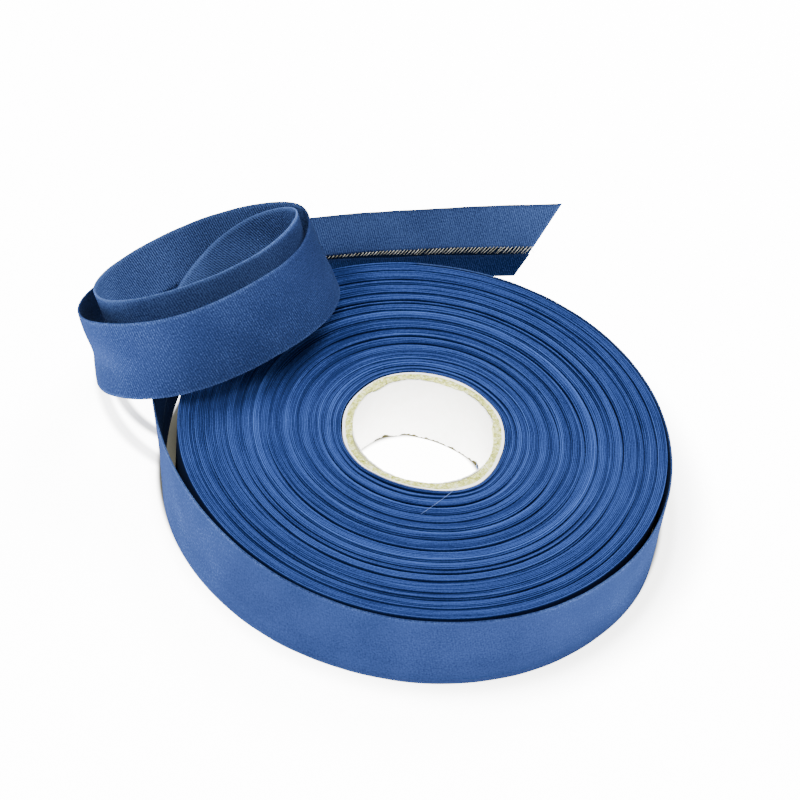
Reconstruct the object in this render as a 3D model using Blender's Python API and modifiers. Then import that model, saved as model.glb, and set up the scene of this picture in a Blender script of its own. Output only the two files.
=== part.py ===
"""Reel of bias tape: a cardboard core, the tape wound on it, and the loose outer end.

The reel lies flat. Its outermost wrap stands a little off the roll, leaves it at the
left, rises, coils two and a half times over the rim and runs out behind the roll to a
slanting cut. Lengths are millimetres until they reach Blender, which works in metres.
"""

import math

import bmesh
import bpy
import numpy as np

MM = 0.001

# The reel
TAPE_WIDTH = 20.0
ROLL_RADIUS = 58.9
CORE_OUTER_RADIUS = 19.95
CORE_WALL = 2.7
CORE_HEIGHT = 19.7
CORE_CENTRE = (-0.4, -1.2)
PIECE_GAP = 0.35
ROLL_STEPS = 72
CORE_STEPS = 48
EDGE_ROUND = 0.35
MERGE_DISTANCE = 0.01

# Grooves where the wound turns sit low, measured from the core outwards
GROOVES = (
    # radius, depth, half width at the top
    (22.3, 0.7, 0.9),
    (26.7, 0.4, 0.6),
    (28.4, 0.4, 0.5),
    (31.0, 0.3, 0.5),
    (33.5, 0.9, 0.6),
    (35.8, 0.6, 0.6),
    (39.5, 1.0, 0.8),
    (42.7, 0.8, 0.7),
    (45.5, 0.5, 0.7),
    (48.4, 0.9, 0.6),
    (50.8, 0.3, 0.5),
    (53.3, 0.8, 0.6),
    (56.5, 0.8, 0.5),
)

# The loose tape: its upper fold covers most of the inner face, and its lower one is thinner
TAPE_THICKNESS = 1.0
LOWER_FLAP_SHARE = 0.65
UPPER_FLAP = 13.5
FLAP_EDGE = 0.3
SLANT_OF_CUT = 14.5
TAPE_STEP = 4.2
SHARP_ANGLE = 40.0

# Outermost wrap, clockwise from the back, just clear of the floor
WRAP_LIFT = 0.15
WRAP = (
    # angle from +X, radius of the tape's middle
    (98.0, 60.0),
    (90.0, 60.0),
    (72.0, 60.0),
    (48.0, 60.0),
    (24.0, 60.0),
    (0.0, 60.2),
    (-24.0, 60.7),
    (-48.0, 60.9),
    (-72.0, 61.0),
    (-96.0, 61.1),
    (-118.0, 61.4),
)

# Route of the tape's middle from where it leaves the roll, about the roll's axis.
# The leans are how far its upper edge tips towards +X and +Y, as shares of its width.
ROUTE = (
    # x, y, z, lean x, lean y
    (-42.5, -46.0, 10.3, 0.00, 0.02),  # leaving the roll at the front left
    (-59.5, -22.0, 10.4, 0.00, 0.02),
    (-66.0, 9.0, 10.6, -0.26, -0.04),  # at the roll's left, starting to rise
    (-60.0, 37.0, 17.0, -0.46, -0.02),
    (-46.4, 47.7, 27.6, -0.48, 0.08),
    (-37.0, 44.0, 34.0, -0.42, 0.20),  # inner bend at the right
    (-39.0, 27.0, 37.5, -0.38, 0.22),
    (-56.5, 8.5, 35.0, -0.40, 0.24),  # inner front
    (-75.0, 5.0, 29.0, -0.40, 0.26),
    (-81.0, 15.5, 23.5, -0.42, 0.26),  # inner bend at the left
    (-72.0, 35.5, 21.0, -0.42, 0.26),
    (-51.6, 51.3, 24.9, -0.44, 0.28),  # back
    (-36.0, 48.0, 31.5, -0.46, 0.26),
    (-31.5, 31.5, 36.0, -0.48, 0.24),  # outer bend at the right
    (-43.5, 9.0, 36.5, -0.38, 0.22),
    (-65.5, -4.0, 32.0, -0.36, 0.24),  # outer front
    (-80.5, 0.0, 26.0, -0.34, 0.28),
    (-84.5, 18.5, 18.0, -0.26, 0.30),  # outer bend at the left
    (-71.5, 43.5, 12.5, -0.16, 0.28),
    (-45.0, 64.0, 11.0, -0.14, 0.26),  # free end, behind the roll
    (-10.0, 76.0, 12.5, -0.16, 0.32),
    (29.5, 81.0, 17.5, -0.16, 0.40),  # the cut
)

# Finishes: colour, roughness
BLUE_TAPE = ((0.035, 0.10, 0.32, 1.0), 0.85)
BLUE_ROLL = ((0.03, 0.085, 0.28, 1.0), 0.9)
WHITE_BOARD = ((0.80, 0.79, 0.75, 1.0), 0.9)


def clear_scene():
    for obj in list(bpy.data.objects):
        bpy.data.objects.remove(obj, do_unlink=True)


def new_collection(name):
    collection = bpy.data.collections.new(name)
    bpy.context.scene.collection.children.link(collection)
    return collection


def new_material(name, finish):
    colour, roughness = finish
    material = bpy.data.materials.new(name)
    material.use_nodes = True
    shader = material.node_tree.nodes["Principled BSDF"]
    shader.inputs["Base Color"].default_value = colour
    shader.inputs["Roughness"].default_value = roughness
    shader.inputs["Metallic"].default_value = 0.0
    return material


def new_object(name, mesh, collection, material):
    obj = bpy.data.objects.new(name, mesh)
    collection.objects.link(obj)
    mesh.materials.append(material)
    return obj


def smooth_path(rows, step):
    """Natural cubic spline through the rows, read at even steps along its first three columns."""
    rows = np.array(rows, dtype=float)
    spans = np.linalg.norm(np.diff(rows[:, :3], axis=0), axis=1)
    knots = np.concatenate(([0.0], np.cumsum(spans)))
    last = len(rows) - 1
    system = np.eye(last + 1)
    bends = np.zeros_like(rows)
    for i in range(1, last):
        system[i, i - 1 : i + 2] = (spans[i - 1], 2.0 * (spans[i - 1] + spans[i]), spans[i])
        after = (rows[i + 1] - rows[i]) / spans[i]
        before = (rows[i] - rows[i - 1]) / spans[i - 1]
        bends[i] = 6.0 * (after - before)
    moments = np.linalg.solve(system, bends)

    samples = np.linspace(0.0, knots[-1], int(knots[-1] / step) + 1)
    found = np.clip(np.searchsorted(knots, samples, side="right") - 1, 0, last - 1)
    span = spans[found][:, None]
    past = (samples - knots[found])[:, None]
    left = span - past
    curved = (moments[found] * left**3 + moments[found + 1] * past**3) / (6.0 * span)
    straight_left = (rows[found] / span - moments[found] * span / 6.0) * left
    straight_past = (rows[found + 1] / span - moments[found + 1] * span / 6.0) * past
    return curved + straight_left + straight_past


def unit(vectors):
    return vectors / np.linalg.norm(vectors, axis=-1, keepdims=True)


def tape_path():
    """Middle line of the loose tape, with the directions across it and out of its outer face."""
    rows = []
    height = TAPE_WIDTH / 2.0 + WRAP_LIFT
    for angle, radius in WRAP:
        turn = math.radians(angle)
        rows.append((radius * math.cos(turn), radius * math.sin(turn), height, 0.0, 0.0))
    rows.extend(ROUTE)
    path = smooth_path(rows, TAPE_STEP)
    middle = path[:, :3]
    lean = path[:, 3:]
    across = np.column_stack((lean, np.sqrt(1.0 - np.sum(lean**2, axis=1))))
    along = unit(np.gradient(middle, axis=0))
    across = unit(across - along * np.sum(across * along, axis=1, keepdims=True))
    outward = np.cross(across, along)
    return middle, along, across, outward


def revolved_profile(name, profile, steps, collection, material, centre=(0.0, 0.0)):
    """Closed outline of (radius, height) turned once about the upright axis at centre."""
    mesh = bpy.data.meshes.new(name)
    points = [(radius * MM, 0.0, height * MM) for radius, height in profile]
    edges = [(i, (i + 1) % len(points)) for i in range(len(points))]
    mesh.from_pydata(points, edges, [])
    obj = new_object(name, mesh, collection, material)
    obj.location = (centre[0] * MM, centre[1] * MM, 0.0)
    screw = obj.modifiers.new("turn", "SCREW")
    screw.axis = "Z"
    screw.angle = math.tau
    screw.steps = steps
    screw.render_steps = steps
    screw.use_merge_vertices = True
    screw.merge_threshold = MERGE_DISTANCE * MM
    screw.use_smooth_shade = True
    return obj


def core_tube(collection):
    outer = CORE_OUTER_RADIUS
    inner = CORE_OUTER_RADIUS - CORE_WALL
    soft = EDGE_ROUND
    profile = (
        (outer - soft, CORE_HEIGHT),
        (outer, CORE_HEIGHT - soft),
        (outer, 0.0),
        (inner, 0.0),
        (inner, CORE_HEIGHT - soft),
        (inner + soft, CORE_HEIGHT),
    )
    material = new_material("white cardboard", WHITE_BOARD)
    return revolved_profile("core_tube", profile, CORE_STEPS, collection, material, CORE_CENTRE)


def roll_profile():
    """Outline of the wound turns: upright sides, a flat foot and the grooved top."""
    inner = CORE_OUTER_RADIUS + PIECE_GAP
    soft = EDGE_ROUND
    profile = [
        (ROLL_RADIUS - soft, TAPE_WIDTH),
        (ROLL_RADIUS, TAPE_WIDTH - soft),
        (ROLL_RADIUS, 0.0),
        (inner, 0.0),
        (inner, TAPE_WIDTH),
    ]
    for radius, depth, half_width in GROOVES:
        profile.append((radius - half_width, TAPE_WIDTH))
        profile.append((radius, TAPE_WIDTH - depth))
        profile.append((radius + half_width, TAPE_WIDTH))
    return profile


def wound_roll(collection):
    """The turns wind about the core, and their middle drifts to the rim's as the roll grows."""
    material = new_material("blue bias tape, wound", BLUE_ROLL)
    turned = revolved_profile("turned roll", roll_profile(), ROLL_STEPS, collection, material)
    seen = turned.evaluated_get(bpy.context.evaluated_depsgraph_get())
    mesh = bpy.data.meshes.new_from_object(seen)
    bpy.data.objects.remove(turned, do_unlink=True)
    mesh.name = "wound_roll"
    inner = CORE_OUTER_RADIUS + PIECE_GAP
    for vertex in mesh.vertices:
        radius = math.hypot(vertex.co.x, vertex.co.y) / MM
        share = (ROLL_RADIUS - radius) / (ROLL_RADIUS - inner)
        vertex.co.x += CORE_CENTRE[0] * share * MM
        vertex.co.y += CORE_CENTRE[1] * share * MM
    roll = bpy.data.objects.new("wound_roll", mesh)
    collection.objects.link(roll)
    return roll


def loose_tape(collection):
    """One strip: a grid laid along the path, its raw-edged flap left thicker than the rest."""
    middle, along, across, outward = tape_path()
    half = TAPE_WIDTH / 2.0
    raw_edge = half - UPPER_FLAP
    levels = (-half, raw_edge - FLAP_EDGE, raw_edge, half)
    count = len(middle)

    grid = bmesh.new()
    bmesh.ops.create_grid(grid, x_segments=count - 1, y_segments=len(levels) - 1, size=1.0)
    grid.verts.ensure_lookup_table()
    columns = sorted({round(vertex.co.x, 5) for vertex in grid.verts})
    rows = sorted({round(vertex.co.y, 5) for vertex in grid.verts})
    column_of = {value: i for i, value in enumerate(columns)}
    row_of = {value: i for i, value in enumerate(rows)}
    flap_layer = grid.verts.layers.deform.verify()
    length = TAPE_STEP * (count - 1)
    for vertex in grid.verts:
        i = column_of[round(vertex.co.x, 5)]
        level = row_of[round(vertex.co.y, 5)]
        height = levels[level]
        shortened = SLANT_OF_CUT * (half - height) / TAPE_WIDTH
        place = i * (length - shortened) / length
        before = min(int(place), count - 2)
        share = place - before
        here = middle[before] * (1.0 - share) + middle[before + 1] * share
        up = unit(across[before] * (1.0 - share) + across[before + 1] * share)
        out = unit(outward[before] * (1.0 - share) + outward[before + 1] * share)
        vertex.co = (here + up * height + out * TAPE_THICKNESS / 2.0) * MM
        vertex[flap_layer][0] = 1.0 if height >= raw_edge else LOWER_FLAP_SHARE

    grid.normal_update()
    grid.faces.ensure_lookup_table()
    if grid.faces[0].normal.dot(outward[0]) < 0.0:
        bmesh.ops.reverse_faces(grid, faces=grid.faces)
    mesh = bpy.data.meshes.new("loose_tape")
    grid.to_mesh(mesh)
    grid.free()
    material = new_material("blue bias tape", BLUE_TAPE)
    tape = new_object("loose_tape", mesh, collection, material)
    tape.vertex_groups.new(name="layers")
    shell = tape.modifiers.new("cloth", "SOLIDIFY")
    shell.thickness = TAPE_THICKNESS * MM
    shell.offset = -1.0
    shell.vertex_group = "layers"
    shell.thickness_vertex_group = 0.0
    mesh.shade_smooth()
    mesh.set_sharp_from_angle(angle=math.radians(SHARP_ANGLE))
    return tape


def stand_on_origin(parts):
    """Moves the parts together, so that the middle of their foot is at the origin."""
    bpy.context.view_layer.update()
    graph = bpy.context.evaluated_depsgraph_get()
    corners = []
    for part in parts:
        seen = part.evaluated_get(graph)
        mesh = seen.to_mesh()
        corners.extend(tuple(seen.matrix_world @ vertex.co) for vertex in mesh.vertices)
        seen.to_mesh_clear()
    corners = np.array(corners)
    low, high = corners.min(axis=0), corners.max(axis=0)
    for part in parts:
        part.location.x -= (low[0] + high[0]) / 2.0
        part.location.y -= (low[1] + high[1]) / 2.0
        part.location.z -= low[2]


def main():
    clear_scene()
    reel = new_collection("reel of bias tape")
    parts = [core_tube(reel), wound_roll(reel), loose_tape(reel)]
    stand_on_origin(parts)


main()
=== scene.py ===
"""Looks of the reel of bias tape: wound turns, loose folded end, cardboard core, floor and light.

Lengths are millimetres about the roll's own axis until a mesh is made. The mesh is in
metres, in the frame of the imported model.
"""

import math

import bmesh
import bpy
import numpy as np
from mathutils import Matrix, Vector


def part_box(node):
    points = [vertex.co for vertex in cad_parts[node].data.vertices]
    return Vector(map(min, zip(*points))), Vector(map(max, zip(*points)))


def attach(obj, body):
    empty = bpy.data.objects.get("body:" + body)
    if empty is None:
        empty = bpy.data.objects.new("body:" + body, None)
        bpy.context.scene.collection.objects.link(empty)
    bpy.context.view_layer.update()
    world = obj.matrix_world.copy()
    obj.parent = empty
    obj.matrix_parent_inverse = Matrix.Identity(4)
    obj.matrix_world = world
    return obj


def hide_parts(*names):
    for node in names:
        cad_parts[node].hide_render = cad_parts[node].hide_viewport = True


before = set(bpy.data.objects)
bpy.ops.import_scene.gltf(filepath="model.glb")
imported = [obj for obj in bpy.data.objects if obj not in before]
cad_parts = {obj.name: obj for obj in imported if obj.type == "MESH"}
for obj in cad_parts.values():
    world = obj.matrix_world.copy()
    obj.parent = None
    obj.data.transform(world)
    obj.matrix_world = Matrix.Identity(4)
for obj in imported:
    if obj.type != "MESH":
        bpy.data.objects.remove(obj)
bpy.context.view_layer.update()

MM = 0.001

# The reel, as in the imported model
TAPE_WIDTH = 20.0
ROLL_RADIUS = 58.9
CORE_RADIUS = 19.95
CORE_HEIGHT = 19.7
CORE_CENTRE = np.array((-0.4, -1.2))

# The cloth: one layer, its two folds, and how far its slanting cut runs back over the width
LAYER = 0.20
FOLD_RADIUS = 0.13
SLANT_OF_CUT = 13.6

# The dyed cloths. A real twill line is about 0.3 mm: it is drawn coarser, so that it shows.
COTTONS = (
    # name, dark, middle and light of the dye, contrast of the twill lines, contrast of the slubs
    ("dyed cotton, wound edge up", "#030a20", "#1a2752", "#3c5698", 0.15, 0.8),
    ("dyed cotton, folded on the bias", "#02081e", "#1d2a4d", "#435988", 0.28, 0.9),
    # The wrong side is a darker copy of the folded cloth: painted shade inside the folds
    ("dyed cotton, wrong side, painted shade", "#010512", "#101d38", "#2b3e63", 0.28, 0.9),
)
TWILL_LINES = (
    # turn of the lines' normal from the tape's length in degrees, pitch, share of the contrast
    (13.5, 0.57, 1.0),
    (45.0, 0.64, 0.25),
)
WAVE_PERIOD = 0.314  # spacing of a wave texture's bands at scale 1
RIDGE_HEIGHT = 0.1
SLUBS_PER_MM = 2.0  # thick places in the yarn, about 0.5 mm across
PATCHES_PER_MM = 0.09  # uneven dye, in patches about 11 mm across
PATCH_CONTRAST = 0.25

# Fibres of paper and board show in clumps about 3 mm and 0.8 mm across, coarser than real ones
PAPER_CLUMPS_PER_M = 350.0
BOARD_CLUMPS_PER_M = 1300.0

# Painted light and painted shade on the outer and the inner face, by place along the loose tape
PAINTED_SHADING_OUTSIDE = (
    # millimetres along the tape, tone
    (0.0, 0.0),
    (145.0, 0.0),
    (185.0, -0.11),
    (225.0, -0.11),
    (252.0, 0.03),
    (330.0, 0.0),
    (380.0, 0.0),
    (400.0, 0.16),
    (440.0, 0.16),
    (460.0, 0.0),
    (500.0, 0.0),
    (518.0, -0.38),
    (545.0, -0.08),
    (565.0, 0.0),
    (600.0, -0.02),
    (640.0, 0.0),
)
PAINTED_SHADING_INSIDE = (
    (0.0, -0.40),
    (100.0, -0.30),
    (125.0, -0.45),
    (235.0, -0.45),
    (262.0, -0.90),
    (318.0, -0.90),
    (330.0, 0.16),
    (355.0, 0.02),
    (378.0, -0.14),
    (410.0, -0.06),
    (588.0, -0.06),
    (600.0, -0.85),
    (628.0, -0.85),
    (640.0, -0.07),
)
# How clearly the twill shows on the outer and the inner face: most in the coil, and hardly at
# all where the tape is stretched round the roll
NAP_OUTSIDE = ((0.0, 0.12), (260.0, 0.12), (330.0, 0.65), (690.0, 0.65), (750.0, 0.3))
NAP_INSIDE = ((0.0, 0.12), (260.0, 0.12), (330.0, 1.7), (540.0, 1.5), (690.0, 1.0), (750.0, 0.8))
# Further painted light and shade of the loose cloth. A pair is the tone and what is added near the cut.
# Painted highlight along the folds; near the cut it is painted darker, as the back lamp already lights
# the top fold there
FOLD_HIGHLIGHT = (0.24, -0.34)
# The flaps are painted lighter, painted light inside the folds; near the cut the lower flap is painted
# dark, painted shade
UPPER_FLAP_TONE = (0.20, 0.05)
LOWER_FLAP_TONE = (0.12, -0.45)
# The outer face is painted a little darker, painted shade
OUTER_FACE_TONE = -0.05
RAW_EDGE_HIGHLIGHT = 0.22  # painted highlight along the lower raw edge, at the cut
FOLD_REACH = 0.35  # how far in from a fold the painted highlight reaches
NEAR_CUT = 110.0
PAINTED_HIGHLIGHT_CROSSING = (362.0, 28.0, 0.25)  # painted highlight on the folds here: place along the tape, reach, how much lighter its folds are

# The folded section: points across the lower flap, the upper flap and the face
FLAP_POINTS = (8, 14)
FACE_POINTS = 26
# How far the flaps stand off the face, and how much more the lower one does near the cut
LOWER_FLAP_OFF = 0.06
LOWER_FLAP_OFF_AT_CUT = 1.5
LOWER_FLAP_REACH = 95.0
UPPER_FLAP_OFF = 0.30
# The face bulges over the lower flap's edge: rise, height up the tape where it ends, softness
FACE_BULGE = (0.16, -4.0, 0.35)
# The face's slack follows a cosine across the tape, which has almost died out at this angle
SLACK_AT_FOLD = 1.45

# Where the two raw edges lie on the inner face, as heights up the tape from its middle
RAW_EDGES = (
    # distance back from the cut, lower raw edge, upper raw edge
    (0.0, -3.5, -1.85),
    (20.0, -3.2, -1.6),
    (38.0, -2.9, -1.45),
    (48.0, -2.4, -1.4),
    (62.0, -2.25, -1.6),
    (95.0, -2.1, -1.95),
    (140.0, -2.0, -2.4),
    (190.0, -2.0, -3.4),
    (900.0, -2.0, -3.4),
)

# Outermost wrap, clockwise from the back, just clear of the floor
WRAP_LIFT = 0.15
WRAP = (
    # angle from +X, radius of the tape's middle, how far its upper edge tips inwards
    (98.0, 59.8, 0.0),
    (90.0, 59.8, 0.0),
    (72.0, 59.8, 0.0),
    (48.0, 59.8, 0.0),
    (24.0, 59.75, 0.0),
    (0.0, 59.75, -0.01),
    (-24.0, 60.85, 0.05),
    (-48.0, 61.05, 0.065),
    (-72.0, 61.15, 0.08),
    (-96.0, 61.05, 0.07),
    (-118.0, 61.3, 0.09),
)

# Route of the tape's middle from where it leaves the roll.
# The leans are how far its upper edge tips towards +X and +Y, as shares of its width.
ROUTE = (
    # x, y, z, lean x, lean y
    (-41.75, -45.25, 10.3, 0.06, 0.07),  # leaving the roll at the front left
    (-59.0, -21.8, 10.4, -0.024, 0.013),
    (-63.0, -9.8, 10.3, -0.13, -0.01),
    (-66.0, 9.0, 10.6, -0.26, -0.04),  # at the roll's left, starting to rise
    (-60.0, 37.0, 17.0, -0.46, -0.02),
    (-46.4, 47.7, 27.6, -0.48, 0.08),
    (-37.0, 44.0, 34.0, -0.42, 0.20),  # inner bend at the right
    (-39.0, 27.0, 37.5, -0.38, 0.22),
    (-56.5, 8.5, 35.0, -0.40, 0.24),  # inner front
    (-75.0, 5.0, 29.0, -0.40, 0.26),
    (-81.0, 15.5, 23.5, -0.42, 0.26),  # inner bend at the left
    (-72.3, 35.8, 21.7, -0.42, 0.26),
    (-51.6, 51.3, 25.1, -0.44, 0.28),  # back
    (-36.0, 48.0, 32.0, -0.46, 0.26),
    (-31.5, 31.5, 36.0, -0.48, 0.24),  # outer bend at the right
    (-43.5, 9.0, 36.5, -0.38, 0.22),
    (-65.5, -4.0, 31.75, -0.36, 0.28),  # outer front
    (-80.5, 0.0, 25.8, -0.34, 0.31),
    (-84.5, 18.5, 18.0, -0.26, 0.30),  # outer bend at the left
    (-71.5, 43.5, 12.5, -0.16, 0.28),
    (-45.0, 64.0, 11.0, -0.14, 0.26),  # free end, behind the roll
    (-10.0, 76.0, 12.5, -0.16, 0.32),
    (29.8, 81.0, 18.0, -0.16, 0.45),  # the cut
)
STATION_STEP = 1.0
# The coil's left bend bows inwards: place along the tape, reach, height, reach, depth
BOW = (609.0, 15.0, -2.8, 6.2, 1.45)

# Cut threads that cross the seam between the raw edges on the last stretch before the cut
BARE_EDGE = 150.0
THREAD_FAMILIES = (
    # way they lean, spacing, radius, paleness
    (-1.0, 1.0, 0.11, 1.0),
    (1.0, 2.7, 0.06, 0.2),
)
THREADS_PAST_CUT = 0.2
THREAD_TUCK = 0.15  # how far they start above the upper raw edge
THREAD_BOW = 0.12  # how far their middle stands off the seam
THREAD_SPREAD = 0.02  # keeps one family off the other
THREADS_PALE = 105.0  # they are blue further back from the cut than this
THREAD_SIDES = 4
NO_THREAD_ALONG = (0.31, 0.17, 0.93)

# Dips in the wound top, where turns sit low for about a turn, from the core outwards
DIPS = (
    # radius, depth
    (21.3, 0.35),
    (22.5, 0.45),
    (25.1, 0.45),
    (27.6, 0.40),
    (30.1, 0.40),
    (32.7, 0.80),
    (35.4, 0.55),
    (38.7, 0.95),
    (41.9, 0.80),
    (44.3, 0.50),
    (45.5, 0.60),
    (48.0, 0.85),
    (51.4, 0.35),
    (53.1, 0.80),
    (56.1, 0.70),
)
# The dips are plain at the front and back, and hardly there at the sides
DIP_SHARE = (
    # angle from +X, share of the depth
    (-180.0, 0.15),
    (-150.0, 0.30),
    (-120.0, 0.85),
    (-90.0, 1.0),
    (-45.0, 0.95),
    (-20.0, 0.55),
    (0.0, 0.40),
    (20.0, 0.55),
    (45.0, 0.95),
    (90.0, 1.0),
    (125.0, 0.75),
    (150.0, 0.30),
)
# A dip has a narrow groove and a broad hollow. The turns beside it are painted lighter, a painted
# highlight, and the dip itself darker, painted shade
GROOVE = (1.7, 0.75)  # share of the dip's depth, half width in turns
HOLLOW = (0.2, 2.2)
LIPS = (1.9, 0.5)  # turns from the dip's middle, half width in turns
LIP_PAINTED_LIGHT = (0.06, 0.14)  # for all dips, and for a plain one
SUNK_PAINTED_SHADE = 0.18

# The winding: a spiral in even steps, whose folded tops are uneven
TURN_PITCH = 0.385
TURN_STEPS = 160
FIRST_TURN_RADIUS = 20.2
ROLL_PIECES = 5
TURN_GAP = 0.02
TURN_FOOT = 0.12  # height of its foot over the floor
TOP_MARGIN = 0.18  # an even top is this far below the tape's full width
TURN_NAP = 0.15
# The tone column paints the walls between turns dark, painted shade in the gaps
TURN_SECTION = (
    # place across the turn, end that the height is measured from, height, tone
    (1.00, "foot", 0.10, -0.45),
    (1.00, "top", -0.50, -0.30),
    (0.92, "top", -0.13, 0.08),
    (0.50, "top", -0.02, 0.15),
    (0.00, "top", 0.00, 0.17),
    (-0.50, "top", -0.02, 0.15),
    (-0.92, "top", -0.13, 0.08),
    (-1.00, "top", -0.50, -0.30),
    (-1.00, "foot", 0.10, -0.45),
    (0.00, "foot", 0.00, 0.05),
)
# How uneven the turns are: spread from turn to turn, and waves of (length, height) along them
LEVEL_SPREAD = 0.08
LEVEL_WAVES = ((70.0, 0.05), (23.0, 0.035), (8.0, 0.02))
SHADE_SPREAD = 0.10
SHADE_WAVES = ((41.0, 0.04), (13.0, 0.03))
WANDER = (
    # lobes in a turn, height, drift with each turn, start
    (2.0, 0.10, 0.05, 0.6),
    (3.0, 0.07, -0.08, 0.0),
)
WANDER_AFTER_TURNS = 12.0
WANDER_WITHIN_RIM = 6.0
CORE_SHAPE_FADE = 5.0  # out from the core, its uneven shape dies out
# The last turn, in shares of a turn: it rises to the wrap, and its wall is bare up to there
LAST_RISE = 0.16
LAST_TURN_OUT = 0.05  # past the wrap's radius, in millimetres
LAST_TURN_BELOW = 0.04  # below the wrap's edge, in millimetres
BARE_WALL_START = 0.23
BARE_WALL_BLEND = 0.03
BARE_WALL_TONE = 0.44

# Painted shadow of the coil above, on the turns next to it: middle, reach and tone of the painted shadow
COIL_OVER_ROLL = (-57.0, 34.0)
COIL_OVER_ROLL_REACH = (33.0, 46.0)
COIL_PAINTED_SHADOW_TONE = 0.18

# The roll's rim is a little out of round, and so is the core
RIM_SHAPE = (
    # angle from +X, how far the rim stands out past its even radius
    (-175.0, 1.0),
    (-165.0, 1.05),
    (-151.0, 1.15),
    (-141.0, 0.7),
    (-125.0, 0.45),
    (-99.0, 0.45),
    (-80.0, 0.2),
    (-54.0, 0.2),
    (-27.0, 0.05),
    (-8.0, 0.15),
    (4.0, 0.40),
    (14.0, 0.70),
    (30.0, 0.80),
    (60.0, 0.98),
    (98.0, 1.0),
    (120.0, 0.95),
    (145.0, 0.8),
)
CORE_SHAPE = (
    # angle from +X, how far the outer paper, the board's outside and its inside stand out
    (-169.0, -0.15, -0.25, -0.35),
    (-157.0, 0.25, 0.10, 0.35),
    (-146.0, 0.20, 0.45, 0.75),
    (-132.0, 0.15, 0.35, 0.60),
    (-120.0, -0.60, -0.20, 0.30),
    (-103.0, -0.95, -0.60, -0.30),
    (-86.0, -0.80, -0.50, -0.40),
    (-72.0, -0.10, 0.10, 0.05),
    (-59.0, 0.50, 0.45, 0.40),
    (-46.0, 0.85, 0.65, 0.35),
    (-30.0, 0.15, 0.00, -0.10),
    (-16.0, -0.45, -0.65, -0.50),
    (1.0, -0.50, -0.60, -0.80),
    (16.0, -0.40, -0.40, -0.70),
    (28.0, -0.20, -0.25, 0.30),
    (40.0, -0.40, -0.30, -0.10),
    (50.0, -0.45, -0.10, 0.20),
    (63.0, -0.20, -0.45, -0.20),
    (74.0, -0.25, -0.35, -0.30),
    (87.0, -0.25, -0.40, -0.20),
    (104.0, -0.05, -0.05, 0.00),
    (121.0, 0.00, 0.20, 0.10),
    (130.0, -0.10, 0.35, 0.00),
    (145.0, -0.40, -0.10, 0.10),
    (156.0, -0.40, -0.20, -0.10),
    (171.0, -0.20, -0.20, -0.20),
)
# Walls of the core: radii, and heights of the rows of points that their rings are drawn up in
CORE_SEGMENTS = 288
MERGE_DISTANCE = 0.01
OUTER_PAPER_INSIDE = 18.45
OUTER_PAPER_ROWS = (0.0, 5.0, 10.0, 15.0, 19.0, 19.66)
BOARD_OUTSIDE = 19.35
BOARD_INSIDE = 17.65
BOARD_ROWS = (0.0, 0.85, 0.95, 2.5, 5.0, 8.0, 14.0, 18.1, 18.3, CORE_HEIGHT)
BOARD_LIP = 1.5  # depth of bare board above the lining
BOARD_IN_LINING = 0.3  # the board's hidden inner face, out from the lining's
LINING_INSIDE = 17.25
LINING_THICKNESS = 0.32
LINING_ROWS = (0.0, 1.2, 2.5, 5.0, 8.0, 14.0, 18.0, CORE_HEIGHT - 0.02)
LINING_END_ROW = 0.5  # rows this near an end of the lining are torn
LINING_FOOT_TEAR = 2.4  # how far the foot's tears are drawn out
PRESSED_HEIGHT = 9.0  # the wall is pressed inwards below this
# A thin torn line of board shows under the lining's foot, painted dark as shade
TORN_LINE_HEIGHT = 0.9
TORN_LINE_INWARDS = 0.28

# The inner paper is torn at both ends, and its foot is pressed inwards
LINING_TEARS = (
    # angle from +X, top below the board's, foot above the floor, foot inwards
    (-180.0, 0.10, 0.0, 0.0),
    (-30.0, 0.10, 0.0, 0.0),
    (24.0, 0.20, 0.0, 0.0),
    (28.0, 0.25, 0.2, -0.2),
    (33.0, 0.20, 0.9, -0.4),
    (36.0, 0.20, 0.3, -0.3),
    (46.0, 0.20, 0.22, 0.4),
    (57.0, 0.25, 0.20, 0.9),
    (61.0, 0.10, 0.26, 1.0),
    (64.0, 0.40, 0.26, 1.1),
    (76.0, 0.65, 0.22, 1.1),
    (89.0, 0.45, 0.26, 0.9),
    (99.0, 0.25, 0.24, 0.5),
    (108.0, 0.10, 0.28, -0.3),
    (110.0, 0.10, 0.0, 0.5),
    (112.0, 0.15, 0.10, 0.5),
    (121.0, 0.20, 0.30, -0.3),
    (126.0, 0.30, 0.14, -0.3),
    (130.0, 0.55, 0.30, -0.3),
    (134.0, 0.95, 0.0, 0.0),
    (140.0, 0.85, 0.0, 0.0),
    (143.0, 0.35, 0.0, 0.0),
    (150.0, 0.10, 0.0, 0.0),
)

# Loose bits of thread
STRAY_THREADS = (
    # start, end, bow to the side, rise at its middle, radius, tone
    ((9.2, -18.6, 20.1), (1.5, -28.8, 20.02), -0.3, 0.25, 0.04, 0.35),
    ((8.9, -15.8, 19.78), (10.4, -15.0, 19.78), 0.15, 0.05, 0.05, 0.9),
    ((14.2, 8.2, 1.1), (14.6, 7.1, 0.3), 0.1, 0.0, 0.10, 0.2),
)

# Camera of the photograph, about the roll's axis
CAMERA_PLACE = (-7.3, -324.5, 343.84)
CAMERA_ELEVATION = 44.30
CAMERA_ROLL = 8.79
CAMERA_LENS = 85.5
SENSOR = 36.0

# Light: the sweep glows, as if lit through from below. Painted shade takes its glow away under the reel,
# dims it next to the reel and in the gap beside the roll, and two rings of painted shadow dim it under
# the coil; in the bore it glows brighter, a painted pool of light.
# A pair of distances is where a change starts and ends, out from its own middle.
GLOW_FAR = 12.0
GLOW_NEAR = 4.5
# The floor in the bore glows brighter still, a painted pool of light on the core's inside
GLOW_IN_BORE = 14.0
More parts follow.
